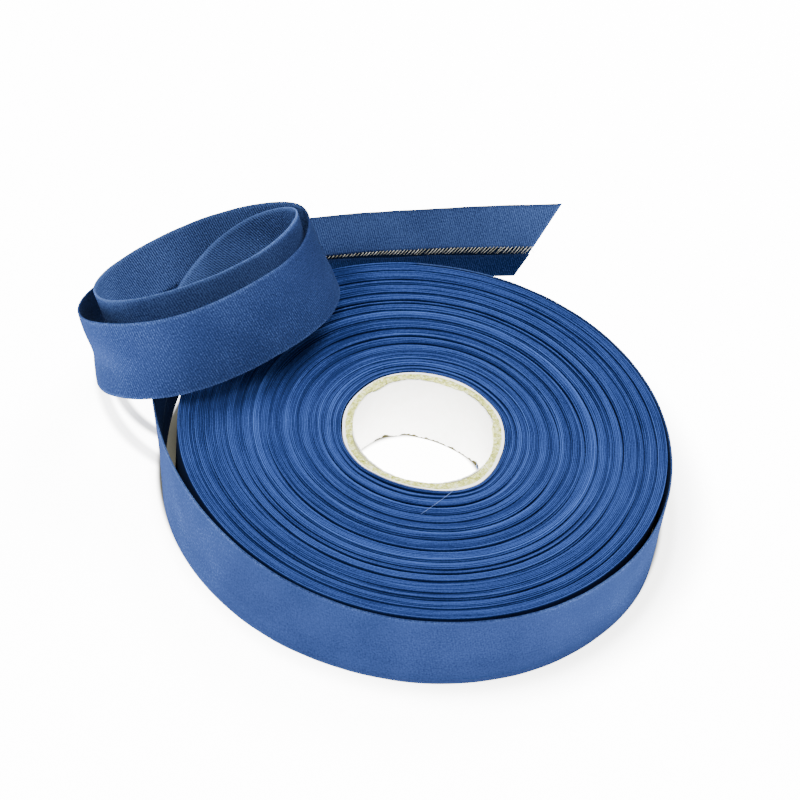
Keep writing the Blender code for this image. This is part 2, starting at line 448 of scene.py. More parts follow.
# The glow is weaker next to the reel, painted shade round it
GLOW_PLACE = (5.0, 3.0)
GLOW_REACH = (61.0, 73.0)
FOOTPRINT = (60.8, 62.2)  # edge of the wrap's foot, inside which painted shade takes all glow away
BORE = (16.0, 17.5)
UNDER_REEL = (63.5, 67.0)  # the sweep is painted grey under the reel, painted shade
GAP_SHADE = ((-4.0, 1.9), (59.8, 61.4))  # painted shade between the roll and the tape that leaves it
COIL_SHADES_SEEN = ((-78.0, -8.0), (24.0, 40.0))  # the rings of painted shadow below show only here
# Painted shadow of the coil on the sweep: rings where its glow is dimmed
COIL_SHADES = (
    # middle of the ring, near side, far side, glow left in it
    ((-52.9, 29.1), (26.6, 28.4), (29.4, 31.4), 0.12),
    ((-46.3, 28.0), (35.6, 37.4), (38.6, 41.0), 0.35),
)
SURROUND = 0.68
FLOOR_SIZE = 6.0  # metres
LAMPS = (
    # name, place in metres, width in metres, watts
    ("back", (0.25, 0.70, 0.80), 0.45, 25.0),
    ("top", (-0.10, -0.35, 1.15), 0.5, 17.0),
)

low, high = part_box("wound_roll")
ROLL_AXIS = Vector(((low.x + high.x) / 2.0, (low.y + high.y) / 2.0, 0.0))


def linear(hex_colour):
    """sRGB hex to the linear colour that a shader takes."""
    values = [int(hex_colour[i : i + 2], 16) / 255.0 for i in (1, 3, 5)]
    return tuple(v / 12.92 if v <= 0.04045 else ((v + 0.055) / 1.055) ** 2.4 for v in values) + (1.0,)


def add(tree, kind, inputs=(), stops=(), **settings):
    """Adds one node with its settings and links.

    inputs gives (socket, value) pairs, where a value may be another node's output. stops gives
    a colour ramp's (place, hex colour) pairs, in order.
    """
    made = tree.nodes.new(kind)
    for name, value in settings.items():
        setattr(made, name, value)
    for socket, value in inputs:
        if isinstance(value, bpy.types.NodeSocket):
            tree.links.new(value, made.inputs[socket])
        else:
            made.inputs[socket].default_value = value
    for number, (place, colour) in enumerate(stops):
        elements = made.color_ramp.elements
        if number == len(elements):
            elements.new(place)
        elements[number].position = place
        elements[number].color = linear(colour)
    return made


def new_material(name, roughness, sheen=0.0):
    """Matt material: cloth, paper and board are rough all through, so hardly any highlight shows."""
    material = bpy.data.materials.new(name)
    material.use_nodes = True
    shader = material.node_tree.nodes["Principled BSDF"]
    shader.inputs["Roughness"].default_value = roughness
    shader.inputs["Specular IOR Level"].default_value = 0.1
    shader.inputs["Sheen Weight"].default_value = sheen
    shader.inputs["Sheen Roughness"].default_value = 0.5
    return material, material.node_tree, shader


def dyed_cotton(name, dark, middle, light, lines, grain):
    """Dyed cotton twill cut on the bias: matt, with fine steep lines across the tape.

    Its fibres give no highlight, only a faint pale blue bloom at a glancing angle. Slubs in the
    yarn make it grainy, and the dye is a little patchy. UVs run along and across the flat cloth
    in millimetres. The tone attribute is how light a place is painted, with random unevenness,
    painted light and painted shade; the nap attribute is how clearly the lines stand out there.
    """
    material, tree, shader = new_material(name, 0.88, 0.04)
    shader.inputs["Specular IOR Level"].default_value = 0.0
    shader.inputs["Sheen Tint"].default_value = linear("#7f97c8")
    uv = add(tree, "ShaderNodeUVMap", uv_map="cloth").outputs["UV"]
    tone = add(tree, "ShaderNodeAttribute", attribute_name="tone").outputs["Fac"]
    nap = add(tree, "ShaderNodeAttribute", attribute_name="nap").outputs["Fac"]
    twill = -0.5 * sum(share for _, _, share in TWILL_LINES)
    for turn, pitch, share in TWILL_LINES:
        turned = add(
            tree,
            "ShaderNodeMapping",
            [("Vector", uv), ("Rotation", (0.0, 0.0, math.radians(turn)))],
        )
        wave = add(
            tree,
            "ShaderNodeTexWave",
            [
                ("Vector", turned.outputs["Vector"]),
                ("Scale", WAVE_PERIOD / pitch),
                ("Distortion", 0.25),
                ("Detail", 2.0),
                ("Detail Scale", 0.8),
            ],
        )
        twill = add(
            tree,
            "ShaderNodeMath",
            [(0, wave.outputs["Fac"]), (1, share), (2, twill)],
            operation="MULTIPLY_ADD",
        ).outputs[0]
    ridges = add(tree, "ShaderNodeMath", [(0, twill), (1, nap)], operation="MULTIPLY").outputs[0]
    slubs = add(
        tree,
        "ShaderNodeTexNoise",
        [("Vector", uv), ("Scale", SLUBS_PER_MM), ("Detail", 2.0), ("Roughness", 0.7)],
    )
    patches = add(
        tree,
        "ShaderNodeTexNoise",
        [("Vector", uv), ("Scale", PATCHES_PER_MM), ("Detail", 2.0)],
    )
    # The slubs show more where the nap does
    slub_contrast = add(
        tree,
        "ShaderNodeMath",
        [(0, nap), (1, 0.3 * grain), (2, 0.7 * grain)],
        operation="MULTIPLY_ADD",
    ).outputs[0]
    shade = add(
        tree,
        "ShaderNodeMath",
        [(0, ridges), (1, lines), (2, tone)],
        operation="MULTIPLY_ADD",
    ).outputs[0]
    for texture, contrast in ((slubs, slub_contrast), (patches, PATCH_CONTRAST)):
        centred = add(
            tree,
            "ShaderNodeMath",
            [(0, texture.outputs["Fac"]), (1, 0.5)],
            operation="SUBTRACT",
        ).outputs[0]
        shade = add(
            tree,
            "ShaderNodeMath",
            [(0, centred), (1, contrast), (2, shade)],
            operation="MULTIPLY_ADD",
        ).outputs[0]
    dye = add(
        tree,
        "ShaderNodeValToRGB",
        [("Fac", shade)],
        stops=((0.0, dark), (0.5, middle), (1.0, light)),
    )
    tree.links.new(dye.outputs["Color"], shader.inputs["Base Color"])
    bump = add(
        tree,
        "ShaderNodeBump",
        [("Height", ridges), ("Strength", lines), ("Distance", RIDGE_HEIGHT * MM)],
    )
    tree.links.new(bump.outputs["Normal"], shader.inputs["Normal"])
    return material


def natural_spline(rows, step):
    """Natural cubic spline through the rows, read at even steps along its first three columns."""
    rows = np.array(rows, dtype=float)
    spans = np.linalg.norm(np.diff(rows[:, :3], axis=0), axis=1)
    knots = np.concatenate(([0.0], np.cumsum(spans)))
    last = len(rows) - 1
    system = np.eye(last + 1)
    bends = np.zeros_like(rows)
    for i in range(1, last):
        system[i, i - 1 : i + 2] = (spans[i - 1], 2.0 * (spans[i - 1] + spans[i]), spans[i])
        bends[i] = 6.0 * ((rows[i + 1] - rows[i]) / spans[i] - (rows[i] - rows[i - 1]) / spans[i - 1])
    moments = np.linalg.solve(system, bends)
    samples = np.linspace(0.0, knots[-1], int(knots[-1] / step) + 1)
    found = np.clip(np.searchsorted(knots, samples, side="right") - 1, 0, last - 1)
    span = spans[found][:, None]
    past = (samples - knots[found])[:, None]
    left = span - past
    curved = (moments[found] * left**3 + moments[found + 1] * past**3) / (6.0 * span)
    straight_left = (rows[found] / span - moments[found] * span / 6.0) * left
    straight_past = (rows[found + 1] / span - moments[found + 1] * span / 6.0) * past
    return curved + straight_left + straight_past


def unit(vectors):
    """The vectors, each made one long."""
    return vectors / np.linalg.norm(vectors, axis=-1, keepdims=True)


def tape_path():
    """Places along the loose tape, with the directions along it, across it and out of its outer face."""
    rows = []
    height = TAPE_WIDTH / 2.0 + WRAP_LIFT
    for angle, radius, tip in WRAP:
        x, y = math.cos(math.radians(angle)), math.sin(math.radians(angle))
        rows.append((radius * x, radius * y, height, -tip * x, -tip * y))
    rows.extend(ROUTE)
    path = natural_spline(rows, STATION_STEP)
    middle = path[:, :3]
    lean = path[:, 3:]
    across = np.column_stack((lean, np.sqrt(1.0 - np.sum(lean**2, axis=1))))
    along = unit(np.gradient(middle, axis=0))
    across = unit(across - along * np.sum(across * along, axis=1, keepdims=True))
    outward = np.cross(across, along)
    run = np.concatenate(([0.0], np.cumsum(np.linalg.norm(np.diff(middle, axis=0), axis=1))))
    return middle, across, outward, run


def soft_waves(places, waves, seed):
    """Smooth uneven values along a line, from waves of the lengths and heights given.

    Each is three sines of nearly its length, so that it doesn't repeat.
    """
    rng = np.random.default_rng(seed)
    total = np.zeros_like(places)
    for length, height in waves:
        for share in (0.85, 1.0, 1.27):
            start = rng.uniform(0.0, math.tau)
            total += height / 2.0 * np.sin(math.tau * places / (length * share) + start)
    return total


def smooth_step(values):
    """Eases values from 0 to 1, and holds them there beyond."""
    held = np.clip(values, 0.0, 1.0)
    return held**2 * (3.0 - 2.0 * held)


def round_profile(rows, column, degrees, blur):
    """Value of a table's column at each angle, eased between its rows over the blur in degrees."""
    rows = sorted(rows)
    grid = np.arange(720) / 2.0
    table = np.array(rows)
    values = np.interp(grid, table[:, 0], table[:, column], period=360.0)
    waves = np.fft.rfft(values)
    turns = np.arange(len(waves))
    waves *= np.exp(-0.5 * (turns * math.radians(blur)) ** 2)
    return np.interp(degrees, grid, np.fft.irfft(waves, len(grid)), period=360.0)


def mesh_object(name, points, faces, material, uvs=None, **values_at_points):
    """Mesh in metres in the model's frame, with cloth UVs in millimetres and named values."""
    mesh = bpy.data.meshes.new(name)
    placed = np.asarray(points) * MM + np.array(ROLL_AXIS)
    mesh.from_pydata(placed.tolist(), [], faces)
    if uvs is not None:
        layer = mesh.uv_layers.new(name="cloth")
        corners = np.empty(len(mesh.loops), dtype=np.int32)
        mesh.loops.foreach_get("vertex_index", corners)
        layer.data.foreach_set("uv", np.asarray(uvs, dtype=np.float32)[corners].ravel())
    for label, values in values_at_points.items():
        attribute = mesh.attributes.new(label, "FLOAT", "POINT")
        attribute.data.foreach_set("value", np.asarray(values, dtype=np.float32))
    mesh.materials.append(material)
    mesh.shade_smooth()
    mesh.update()
    obj = bpy.data.objects.new(name, mesh)
    bpy.context.scene.collection.objects.link(obj)
    return obj


def grid_faces(rows, columns, closed):
    """Faces of a grid of points, row after row. A closed grid joins its last column to its first."""
    wide = columns if closed else columns - 1
    i, j = np.meshgrid(np.arange(rows - 1), np.arange(wide), indexing="ij")
    here = i * columns + j
    beside = i * columns + (j + 1) % columns
    faces = np.stack((here, beside, beside + columns, here + columns), axis=-1)
    return faces.reshape(-1, 4).tolist()


def apply_modifier(obj, kind, **settings):
    """Adds a modifier with its settings and makes its result the piece's own mesh."""
    modifier = obj.modifiers.new(kind.lower(), kind)
    for name, value in settings.items():
        setattr(modifier, name, value)
    bpy.ops.object.select_all(action="DESELECT")
    bpy.context.view_layer.objects.active = obj
    obj.select_set(True)
    bpy.ops.object.modifier_apply(modifier=modifier.name)


def winding_line():
    """Places along the wound tape.

    Gives the turns made, the even radius, the angle, the middle that it turns about, the true
    radius, and how far the last turn has risen to the wrap.
    """
    turn_count = (ROLL_RADIUS - TURN_PITCH / 2.0 - FIRST_TURN_RADIUS) / TURN_PITCH
    count = int(turn_count * TURN_STEPS)
    steps = np.arange(count)
    turns = steps / TURN_STEPS
    even = FIRST_TURN_RADIUS + TURN_PITCH * turns
    end_angle = math.radians(WRAP[0][0])
    angles = end_angle + (count - 1 - steps) * math.tau / TURN_STEPS
    degrees = np.degrees(angles)

    # The turns follow the uneven core at first and the uneven rim at last
    inner = np.clip((ROLL_RADIUS - even) / (ROLL_RADIUS - FIRST_TURN_RADIUS), 0.0, 1.0)
    middle = inner[:, None] * CORE_CENTRE[None, :]
    near_core = np.exp(-(even - FIRST_TURN_RADIUS) / CORE_SHAPE_FADE)
    radii = even + round_profile(CORE_SHAPE, 1, degrees, blur=4.0) * near_core
    radii += round_profile(RIM_SHAPE, 1, degrees, blur=5.0) * (1.0 - inner) ** 2
    wander = np.zeros(count)
    for lobes, height, drift, start in WANDER:
        wander += height * np.sin(lobes * angles + drift * turns + start)
    wander *= np.clip(turns / WANDER_AFTER_TURNS, 0.0, 1.0)
    radii += wander * np.clip((ROLL_RADIUS - even) / WANDER_WITHIN_RIM, 0.0, 1.0)

    # The last turn rises to meet the loose wrap
    lift = smooth_step((turns - turns[-1] + LAST_RISE) / LAST_RISE)
    radii += lift * (WRAP[0][1] + LAST_TURN_OUT - radii[-1])
    return turns, even, angles, middle, radii, lift


def uneven_tops(turns, even, degrees, run):
    """Height of the winding's top at each place, and how light it is there.

    Each turn stands a little higher or lower, lighter or darker, than its neighbours. The turns beside a
    dip are painted lighter, a painted highlight, and the dip darker, painted shade.
    """
    rng = np.random.default_rng(11)
    whole = np.arange(int(turns[-1]) + 3)
    level = np.interp(turns, whole, rng.normal(0.0, LEVEL_SPREAD, len(whole)))
    shade = np.interp(turns, whole, rng.normal(0.0, SHADE_SPREAD, len(whole)))
    level += soft_waves(run, LEVEL_WAVES, seed=12)
    shade += soft_waves(run, SHADE_WAVES, seed=13)
    sunk = np.zeros(len(turns))
    share = round_profile(DIP_SHARE, 1, degrees, blur=8.0)
    for radius, depth in DIPS:
        away = (even - radius) / TURN_PITCH
        narrow = GROOVE[0] * depth * np.exp(-((away / GROOVE[1]) ** 2))
        broad = HOLLOW[0] * depth * np.exp(-((away / HOLLOW[1]) ** 2))
        sunk = np.maximum(sunk, share * (narrow + broad))
        lips = np.exp(-(((np.abs(away) - LIPS[0]) / LIPS[1]) ** 2))
        shade += (LIP_PAINTED_LIGHT[0] + LIP_PAINTED_LIGHT[1] * share) * depth * lips
    tops = np.minimum(TAPE_WIDTH - TOP_MARGIN - sunk + level, TAPE_WIDTH)
    return tops, shade - SUNK_PAINTED_SHADE * sunk


def wound_turns(material):
    """All the turns of folded tape on the core, upright, in a few pieces that follow on."""
    turns, even, angles, middle, radii, lift = winding_line()
    run = np.cumsum(radii) * math.tau / TURN_STEPS
    tops, tone_of_turn = uneven_tops(turns, even, np.degrees(angles), run)
    tops += lift * (TAPE_WIDTH + WRAP_LIFT - LAST_TURN_BELOW - tops)
    # Painted shadow of the coil above on the turns next to it
    east = middle[:, 0] + radii * np.cos(angles) - COIL_OVER_ROLL[0]
    north = middle[:, 1] + radii * np.sin(angles) - COIL_OVER_ROLL[1]
    near, far = COIL_OVER_ROLL_REACH
    painted_shade = smooth_step((far - np.hypot(east, north)) / (far - near))
    tone_of_turn -= COIL_PAINTED_SHADOW_TONE * painted_shade

    # The walls between turns are painted dark, painted shade in the gaps, but the last turn's is bare up
    # to where the wrap starts
    bare = np.clip((turns - turns[-1] + BARE_WALL_START) / BARE_WALL_BLEND, 0.0, 1.0)
    half = (TURN_PITCH - TURN_GAP) / 2.0
    wide = len(TURN_SECTION)
    points = np.empty((len(turns), wide, 3))
    tones = np.empty((len(turns), wide))
    uvs = np.empty((len(turns), wide, 2))
    for k, (side, end, rise, tone) in enumerate(TURN_SECTION):
        radius = radii + side * half
        points[:, k, 0] = middle[:, 0] + radius * np.cos(angles)
        points[:, k, 1] = middle[:, 1] + radius * np.sin(angles)
        points[:, k, 2] = (tops if end == "top" else TURN_FOOT) + rise
        tones[:, k] = 0.5 + tone + tone_of_turn
        if side == 1.0:
            tones[:, k] += bare * (BARE_WALL_TONE - tones[:, k])
        uvs[:, k, 0] = run
        uvs[:, k, 1] = points[:, k, 2] if side > 0.0 else 2.0 * TAPE_WIDTH - points[:, k, 2]
    pieces = []
    bounds = np.linspace(0, len(turns) - 1, ROLL_PIECES + 1).astype(int)
    for number in range(ROLL_PIECES):
        first, last = bounds[number], bounds[number + 1] + 1
        rows = last - first
        obj = mesh_object(
            f"wound_turns_{number + 1}",
            points[first:last].reshape(-1, 3),
            grid_faces(rows, wide, True),
            material,
            uvs[first:last].reshape(-1, 2),
            tone=tones[first:last].ravel(),
            nap=np.full(rows * wide, TURN_NAP),
        )
        cap_ends(obj, wide, rows)
        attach(obj, "root")
        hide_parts("wound_roll")
        pieces.append(obj)
    return pieces


def cap_ends(obj, wide, rows):
    """Closes the first and last sections of a piece of the winding."""
    mesh = obj.data
    start = len(mesh.polygons)
    work = bmesh.new()
    work.from_mesh(mesh)
    work.verts.ensure_lookup_table()
    layer = work.loops.layers.uv.verify()
    for ring, flip in ((range(wide), False), (range((rows - 1) * wide, rows * wide), True)):
        corners = [work.verts[i] for i in ring]
        if flip:
            corners.reverse()
        face = work.faces.new(corners)
        for loop in face.loops:
            loop[layer].uv = (0.0, 0.0)
    work.to_mesh(mesh)
    work.free()
    mesh.polygons[start].use_smooth = False
    mesh.polygons[start + 1].use_smooth = False


def folded_section(lower_edge, upper_edge):
    """Middle of the cloth in the tape's section, from the lower raw edge to the upper one.

    Each row is the height up the tape, the depth out of it, and the place in the flat cloth.
    """
    half = (TAPE_WIDTH - LAYER) / 2.0
    rows = []
    for height in np.linspace(lower_edge, -half + FOLD_RADIUS, FLAP_POINTS[0]):
        rows.append((height, -FOLD_RADIUS))
    for turn in np.radians((225.0, 270.0, 315.0)):
        rows.append((-half + FOLD_RADIUS + FOLD_RADIUS * math.sin(turn), FOLD_RADIUS * math.cos(turn)))
    for height in np.linspace(-half + FOLD_RADIUS, half - FOLD_RADIUS, FACE_POINTS):
        rows.append((height, FOLD_RADIUS))
    for turn in np.radians((45.0, 90.0, 135.0)):
        rows.append((half - FOLD_RADIUS + FOLD_RADIUS * math.sin(turn), FOLD_RADIUS * math.cos(turn)))
    for height in np.linspace(half - FOLD_RADIUS, upper_edge, FLAP_POINTS[1]):
        rows.append((height, -FOLD_RADIUS))
    rows = np.array(rows)
    cloth = np.concatenate(([0.0], np.cumsum(np.linalg.norm(np.diff(rows, axis=0), axis=1))))
    return np.column_stack((rows, cloth))


def raw_edges(run, length):
    """Heights of the lower and the upper raw edge along the tape."""
    table = np.array(RAW_EDGES)
    back = length - run
    lower = np.interp(back, table[:, 0], table[:, 1]) + soft_waves(run, ((29.0, 0.10),), seed=8)
    upper = np.interp(back, table[:, 0], table[:, 2]) + soft_waves(run, ((33.0, 0.10),), seed=9)
    return lower, upper


def place_on_tape(path, station, height, depth):
    """Point at a station of the path, so far up the tape and out of its face."""
    middle, across, outward, _ = path
    before = np.clip(station.astype(int), 0, len(middle) - 2)
    share = (station - before)[..., None]
    here = middle[before] * (1.0 - share) + middle[before + 1] * share
    up = unit(across[before] * (1.0 - share) + across[before + 1] * share)
    out = unit(outward[before] * (1.0 - share) + outward[before + 1] * share)
    return here + up * height[..., None] + out * depth[..., None]


def flap_lift(run, length):
    """How far the lower and the upper raw edge stand off the cloth behind, along the tape."""
    near_end = np.exp(-(((length - run) / LOWER_FLAP_REACH) ** 4))
    lower = LOWER_FLAP_OFF + LOWER_FLAP_OFF_AT_CUT * near_end
    lower += soft_waves(run, ((31.0, 0.03),), seed=3)
    upper = UPPER_FLAP_OFF + soft_waves(run, ((23.0, 0.04),), seed=4)
    return np.maximum(lower, 0.0), np.maximum(upper, 0.0)


def by_face(run, outer, outside, inside):
    """Value at each point of the tape, from the table of its outer or of its inner face."""
    values = [np.interp(run, *np.array(table).T)[:, None] for table in (outside, inside)]
    return np.where(outer, *values)


def tape_tones(run, heights, near_cut, outer, on_lower, on_upper, at_raw_edge):
    """How light each point of the loose cloth is painted, 0.5 being plain. Its folds get a painted
    highlight, and its faces and flaps painted light and shade.
    """
    at, reach, lighter = PAINTED_HIGHLIGHT_CROSSING
    crossing = lighter * np.exp(-(((run - at) / reach) ** 4))[:, None]
    from_fold = TAPE_WIDTH / 2.0 - np.abs(heights)
    tones = np.full(heights.shape, 0.5)
    fold_tone = FOLD_HIGHLIGHT[0] + FOLD_HIGHLIGHT[1] * near_cut + crossing
    tones += fold_tone * np.exp(-((from_fold / FOLD_REACH) ** 2))
    tones += np.where(outer, OUTER_FACE_TONE, 0.0)
    tones += np.where(on_upper, UPPER_FLAP_TONE[0] + UPPER_FLAP_TONE[1] * near_cut, 0.0)
    tones += np.where(on_lower, LOWER_FLAP_TONE[0] + LOWER_FLAP_TONE[1] * near_cut, 0.0)
    tones += by_face(run, outer, PAINTED_SHADING_OUTSIDE, PAINTED_SHADING_INSIDE)
    tones += np.where(at_raw_edge, RAW_EDGE_HIGHLIGHT * near_cut, 0.0)
    return tones


def loose_tape(path, material, wrong_side_painted_dark):
    """The loose end: one strip of cloth with both raw edges folded in, cut on a slant."""
    middle, _, _, run = path
    count = len(middle)
    length = run[-1]
    half = TAPE_WIDTH / 2.0
    lower_edge, upper_edge = raw_edges(run, length)
    sections = np.array([folded_section(a, b) for a, b in zip(lower_edge, upper_edge)])
    heights, depths, cloth = np.moveaxis(sections, 2, 0)
    order = np.arange(heights.shape[1])
    on_lower = (order < FLAP_POINTS[0])[None, :]
    on_upper = (order >= len(order) - FLAP_POINTS[1])[None, :]
    outer = ~(on_lower | on_upper)
    reach_lower = np.where(on_lower, (heights + half) / (lower_edge[:, None] + half), 0.0)
    reach_upper = np.where(on_upper, (half - heights) / (half - upper_edge[:, None]), 0.0)

    # The cut runs down on a slant
    stations = np.arange(count, dtype=float)[:, None]
    shortened = SLANT_OF_CUT * (half - heights) / TAPE_WIDTH
    station = stations * (1.0 - np.maximum(shortened, 0.0) / length)

    # Each flap opens from its fold out to its raw edge
    lower, upper = flap_lift(run, length)
    depth = depths - lower[:, None] * reach_lower**1.3 - upper[:, None] * reach_upper**2

    # The face bulges over the lower flap's edge, and is a little slack along its middle
    bulge_rise, bulge_end, softness = FACE_BULGE
    bulge = bulge_rise / (1.0 + np.exp((heights - bulge_end) / softness))
    slack = soft_waves(run, ((46.0, 0.10), (19.0, 0.05)), seed=5)[:, None]
    sagged = slack * np.cos(heights / half * SLACK_AT_FOLD)
    depth = depth + np.where(outer, bulge + sagged, 0.0)
    at, reach, bow_height, spread, deep = BOW
    along_bow = np.exp(-(((run - at) / reach) ** 2))[:, None]
    depth = depth - deep * along_bow * np.exp(-(((heights - bow_height) / spread) ** 2))
    height = heights + soft_waves(run, ((37.0, 0.07), (11.0, 0.03)), seed=6)[:, None]

    points = place_on_tape(path, station, height, depth)
    near_cut = np.exp(-(((length - run) / NEAR_CUT) ** 4))[:, None]
    at_raw_edge = on_lower & (reach_lower > 0.99)
    tones = tape_tones(run, heights, near_cut, outer, on_lower, on_upper, at_raw_edge)
    tape = mesh_object(
        "loose_tape_folded",
        points.reshape(-1, 3),
        grid_faces(count, len(order), False),
        material,
        np.stack((station * length / (count - 1), cloth), axis=-1).reshape(-1, 2),
        tone=tones.ravel(),
        nap=by_face(run, outer, NAP_OUTSIDE, NAP_INSIDE).ravel(),
    )
    # One side of the cloth takes the darker wrong-side copy, painted shade
    tape.data.materials.append(wrong_side_painted_dark)
    apply_modifier(tape, "SOLIDIFY", thickness=LAYER * MM, offset=0.0, material_offset=1)
    return tape, length


def add_tube(store, route, radius, tone):
    """Adds a thin thread along the route's points to the store of points, faces and tones."""
    sides = THREAD_SIDES
    points, faces, tones = store
    route = np.asarray(route)
    along = unit(np.gradient(route, axis=0))
    side = unit(np.cross(along, NO_THREAD_ALONG))
    other = np.cross(along, side)
    base = len(points)
    for k in range(len(route)):
        for s in range(sides):
            turn = math.tau * s / sides
            points.append(route[k] + radius * (math.cos(turn) * side[k] + math.sin(turn) * other[k]))
            tones.append(tone)
    for k in range(len(route) - 1):
        for s in range(sides):
            a = base + k * sides + s
            b = base + k * sides + (s + 1) % sides
            faces.append((a, b, b + sides, a + sides))
    faces.append(tuple(base + s for s in reversed(range(sides))))
    faces.append(tuple(base + (len(route) - 1) * sides + s for s in range(sides)))


def raw_edge_threads(path, material):
    """Cut ends of the bias threads, crossing both ways below the upper raw edge."""
    rng = np.random.default_rng(21)
    _, _, _, run = path
    length = run[-1]
    count = len(run)
    half = TAPE_WIDTH / 2.0
    _, upper = flap_lift(run, length)
    store = ([], [], [])
    lower_edge, upper_edge = raw_edges(run, length)
    last = length - SLANT_OF_CUT * (half - upper_edge[-1]) / TAPE_WIDTH + THREADS_PAST_CUT
    for direction, pitch, thick, pale in THREAD_FAMILIES:
        place = length - BARE_EDGE
        while place < last:
            near = min(int(place * (count - 1) / length), count - 1)
            start = upper_edge[near] + THREAD_TUCK
            fall = (start - lower_edge[near]) * rng.uniform(0.92, 1.06)
            drift = direction * fall * rng.uniform(0.85, 1.15)
            route = []
            for share in (0.0, 0.5, 1.0):
                at = min(max(place + drift * share, 0.0), length) * (count - 1) / length
                off = -FOLD_RADIUS - LAYER / 2.0 - upper[min(int(at), count - 1)]
                off -= THREAD_SPREAD * direction
                off -= THREAD_BOW * math.sin(math.pi * share)
                route.append(
                    place_on_tape(path, np.array(at), np.array(start - fall * share), np.array(off))
                )
            bare = math.exp(-(((length - place) / THREADS_PALE) ** 6))
            add_tube(store, route, thick, bare * pale * rng.uniform(0.55, 0.95))
            place += pitch * rng.uniform(0.88, 1.12)
    points, faces, tones = store
    return mesh_object("raw_edge_threads", points, faces, material, tone=tones)


def stray_threads(material):
    """One loose thread across the turns in front of the core, and two bits caught on the core."""
    store = ([], [], [])
    for start, end, bow, rise, radius, tone in STRAY_THREADS:
        start, end = np.array(start), np.array(end)
        side = np.cross(unit(end - start), (0.0, 0.0, 1.0))
        shares = np.linspace(0.0, 1.0, 12)[:, None]
        arch = np.sin(math.pi * shares)
        route = start * (1.0 - shares) + end * shares + arch * (bow * side + (0.0, 0.0, rise))
        add_tube(store, route, radius, tone)
    points, faces, tones = store
    return mesh_object("stray_threads", points, faces, material, tone=tones)


def set_camera():
    """The photograph's view: about 44 degrees down, turned a little, with a long lens."""
    down = math.radians(CAMERA_ELEVATION)
    roll = math.radians(CAMERA_ROLL)
    right = Vector((1.0, 0.0, 0.0))
    up = Vector((0.0, math.sin(down), math.cos(down)))
    back = right.cross(up)
    side = right * math.cos(roll) + up * math.sin(roll)
    rise = up * math.cos(roll) - right * math.sin(roll)
    turned = Matrix((side, rise, back)).transposed().to_4x4()
    data = bpy.data.cameras.new("camera")
    data.lens = CAMERA_LENS
    data.sensor_width = SENSOR
    data.clip_start = 0.01
    data.clip_end = 10.0
    camera = bpy.data.objects.new("camera", data)
    bpy.context.scene.collection.objects.link(camera)
    camera.matrix_world = Matrix.Translation(Vector(CAMERA_PLACE) * MM + ROLL_AXIS) @ turned
    bpy.context.scene.camera = camera


def add_area_light(name, place, target, size, power, colour):
    """Round soft lamp at a place in metres, turned to its target."""
    data = bpy.data.lights.new(name, "AREA")
    data.shape = "DISK"
    data.size = size
    data.energy = power
    data.color = linear(colour)[:3]
    light = bpy.data.objects.new(name, data)
    bpy.context.scene.collection.objects.link(light)
    light.location = place
    light.rotation_euler = (Vector(target) - Vector(place)).to_track_quat("-Z", "Y").to_euler()


def floor_fade(tree, place, reach, start, end):
    """Value on the floor, from start to end as the distance from a place crosses the reach."""
    near, far = reach
    centre = ROLL_AXIS + Vector((place[0], place[1], 0.0)) * MM
    here = add(tree, "ShaderNodeTexCoord").outputs["Object"]
    distance = add(
        tree, "ShaderNodeVectorMath", [(0, here), (1, tuple(centre))], operation="DISTANCE"
    )
    return add(
        tree,
        "ShaderNodeMapRange",
        [
            ("Value", distance.outputs["Value"]),
            ("From Min", near * MM),
            ("From Max", far * MM),
            ("To Min", start),
            ("To Max", end),
        ],
        interpolation_type="SMOOTHSTEP",
    ).outputs["Result"]


def floor_glow(tree):
    """Glow of the sweep: none under the reel and less next to it and in the gap beside the roll, as
    painted shade; two rings of painted shadow under the coil; and more in the bore, a painted pool of
    light.
    """
    # Painted shade under and beside the reel, and rings of painted shadow under the coil
    shades = [
        floor_fade(tree, (0.0, 0.0), FOOTPRINT, 0.0, 1.0),
        floor_fade(tree, *GAP_SHADE, 0.0, 1.0),
    ]
    for middle, near_side, far_side, least in COIL_SHADES:
        ring = floor_fade(tree, middle, near_side, 1.0, least)
        for other in (
            floor_fade(tree, middle, far_side, least, 1.0),
            floor_fade(tree, *COIL_SHADES_SEEN, 0.0, 1.0),
        ):
            larger = add(tree, "ShaderNodeMath", [(0, ring), (1, other)], operation="MAXIMUM")
            ring = larger.outputs[0]
        shades.append(ring)
    glow = floor_fade(tree, GLOW_PLACE, GLOW_REACH, GLOW_NEAR, GLOW_FAR)
    for shade in shades:
        shaded = add(tree, "ShaderNodeMath", [(0, glow), (1, shade)], operation="MULTIPLY")
        glow = shaded.outputs[0]
    # Painted pool of light in the bore
    in_bore = floor_fade(tree, CORE_CENTRE, BORE, GLOW_IN_BORE, 0.0)
    return add(tree, "ShaderNodeMath", [(0, glow), (1, in_bore)], operation="ADD").outputs[0]


